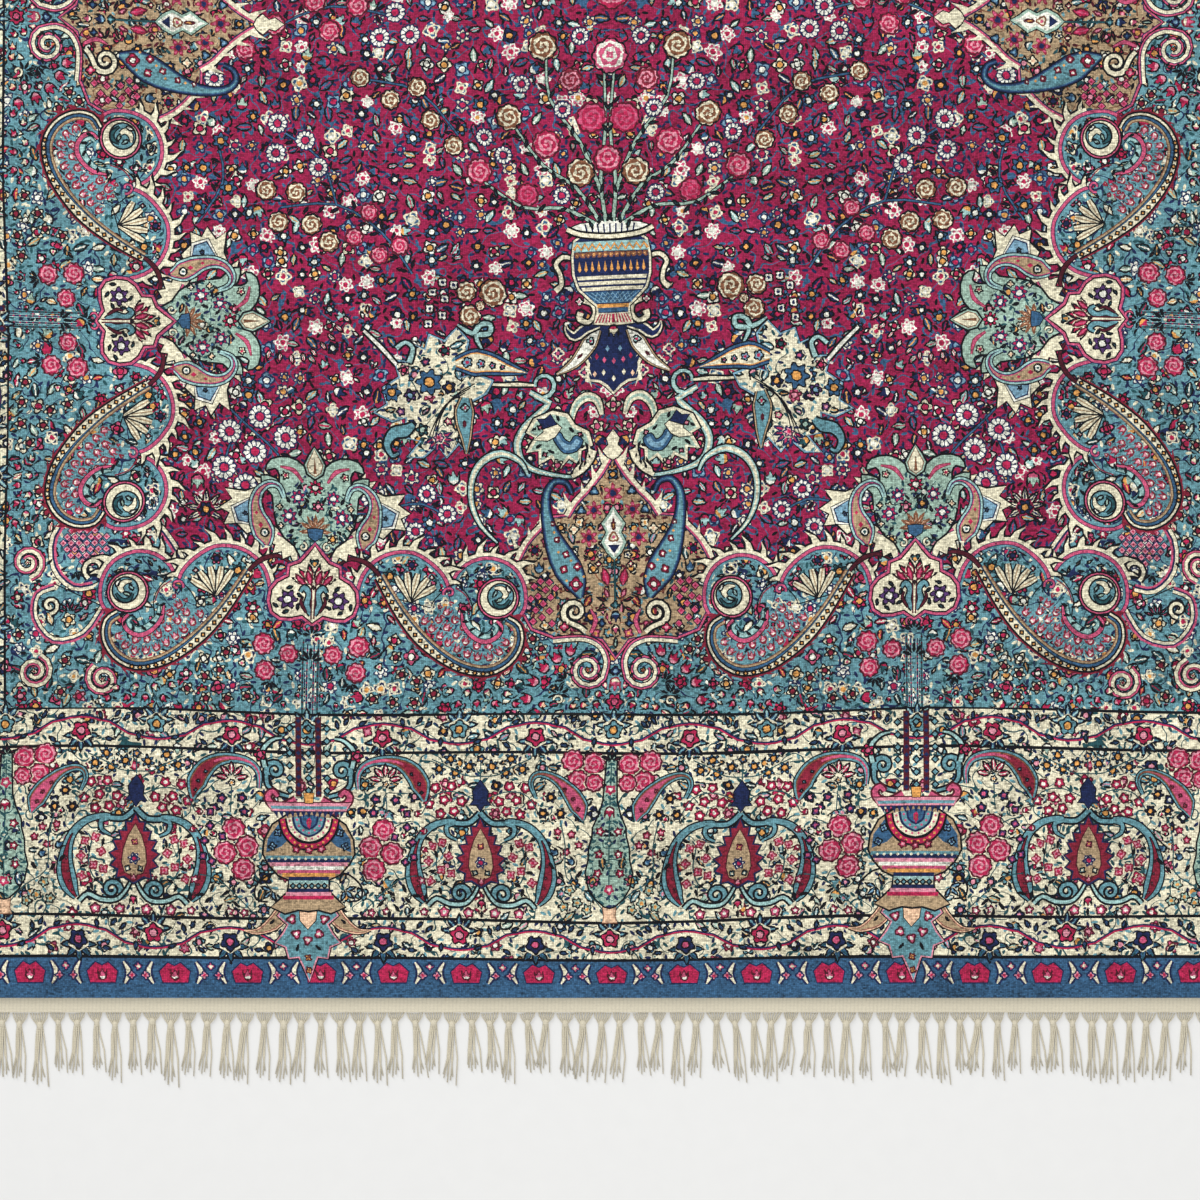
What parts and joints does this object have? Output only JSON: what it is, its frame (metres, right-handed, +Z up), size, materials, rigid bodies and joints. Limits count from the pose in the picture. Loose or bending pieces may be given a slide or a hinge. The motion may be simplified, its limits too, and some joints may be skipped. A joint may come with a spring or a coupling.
{
  "type": "persian rug",
  "caption": "Rectangular hand-knotted pile rug lying flat, with flat-woven ends, overcast side cords and short warp fringes.",
  "frame": {"origin": "middle of the underside, on the surface that the rug lies on", "axes": "+Z up through the pile, +Y along the rug's length (its warps), +X along its width"},
  "size_m": [1.4256, 2.1905, 0.0098],
  "materials": {
    "wool_pile": "low wool pile, figured in crimson, teal, ivory and navy",
    "overcast_wool": "matt overcast wool yarn",
    "cotton_warp": "matt natural cotton yarn"
  },
  "bodies": {
    "root": {"rug_body": "wool_pile", "side_cord_west": "overcast_wool", "side_cord_east": "overcast_wool", "fringe_near": "cotton_warp", "fringe_far": "cotton_warp"}
  },
  "joints": []
}
